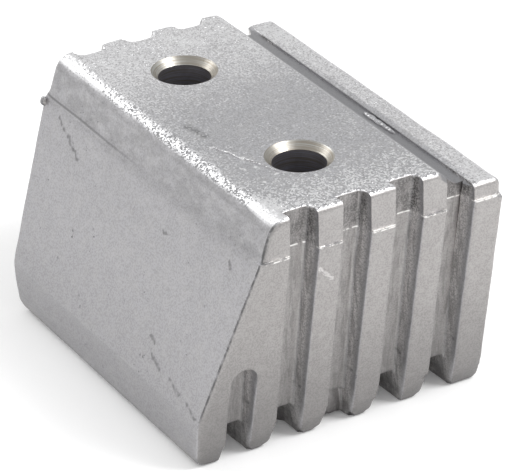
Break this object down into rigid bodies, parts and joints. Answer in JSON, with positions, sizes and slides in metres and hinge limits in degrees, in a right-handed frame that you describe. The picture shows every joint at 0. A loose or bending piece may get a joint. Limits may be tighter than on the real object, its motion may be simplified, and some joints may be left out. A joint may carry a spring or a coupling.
{
  "type": "sacrificial anode",
  "caption": "Cast anode block with a flat bolt-through mounting plate, a sloping front and fins wrapped round its ends and underside.",
  "frame": {"origin": "middle of the base, level with the fins' lower edges", "axes": "+X along the row of bores, +Y towards the rear fin, away from the sloping front, +Z towards the mounting plate"},
  "size_m": [0.071, 0.0554, 0.0443],
  "materials": {
    "cast_metal": "as cast, dull grey"
  },
  "bodies": {
    "root": {"anode_block": "cast_metal"}
  },
  "joints": []
}
